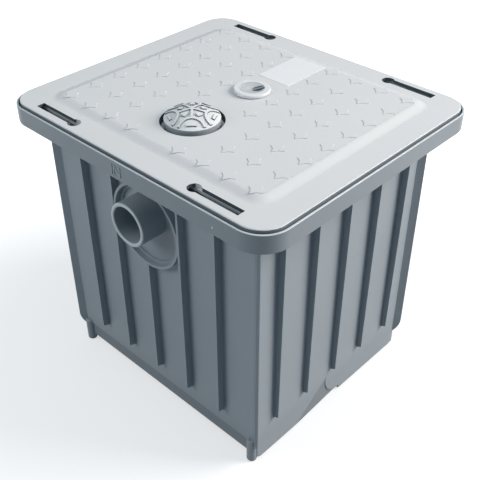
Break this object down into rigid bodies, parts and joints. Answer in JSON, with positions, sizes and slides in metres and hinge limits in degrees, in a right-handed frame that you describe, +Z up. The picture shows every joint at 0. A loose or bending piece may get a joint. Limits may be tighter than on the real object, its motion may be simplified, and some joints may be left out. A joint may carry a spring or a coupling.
{
  "type": "grease trap",
  "caption": "Under-sink grease trap: a ribbed plastic tank with pipe spigots at both ends, a recessed lift-off lid with a round inspection cap, and baffles, basket and outlet tee inside.",
  "frame": {"origin": "on the ground, in the middle of the outline, under the four feet", "axes": "+Z is up; +X is the way the water flows, with the inlet at -X and the lower outlet at +X; Y runs across"},
  "size_m": [0.336, 0.38, 0.3678],
  "materials": {
    "tank_plastic": "fine moulded satin",
    "lid_plastic": "fine grained matt",
    "inner_plastic": "satin",
    "fitting_plastic": "smooth drawn pipe",
    "clear_plastic": "clear polished",
    "seal_rubber": "smooth matt",
    "wire_steel": "bright drawn wire"
  },
  "bodies": {
    "tank": {"tank": "tank_plastic", "inlet_baffle": "inner_plastic", "outlet_baffle": "inner_plastic", "sediment_basket": "inner_plastic", "outlet_tee": "fitting_plastic", "outlet_tee_seal": "seal_rubber", "dip_pipe": "fitting_plastic", "dip_pipe_seal": "seal_rubber", "tee_cleaning_cap": "fitting_plastic", "tee_cap_seal": "seal_rubber"},
    "lid": {"lid": "lid_plastic", "lid_gasket": "seal_rubber"},
    "inspection_cap": {"inspection_cap": "lid_plastic", "inspection_cap_seal": "seal_rubber"},
    "sight_plug": {"sight_plug": "clear_plastic", "sight_plug_seal": "seal_rubber"},
    "basket_handle": {"basket_handle": "wire_steel"}
  },
  "joints": [
    {"name": "lid_lift", "type": "slide", "parent": "tank", "child": "lid", "axis": [0, 0, 1], "range_m": [0, 0.08]},
    {"name": "inspection_cap_lift", "type": "slide", "parent": "lid", "child": "inspection_cap", "axis": [0, 0, 1], "range_m": [0, 0.04]},
    {"name": "sight_plug_lift", "type": "slide", "parent": "lid", "child": "sight_plug", "axis": [0, 0, 1], "range_m": [0, 0.03]},
    {"name": "basket_handle_swing", "type": "hinge", "parent": "tank", "child": "basket_handle", "pos_m": [-0.08675, 0, 0.245], "axis": [0, -1, 0], "range_deg": [0, 120]}
  ]
}
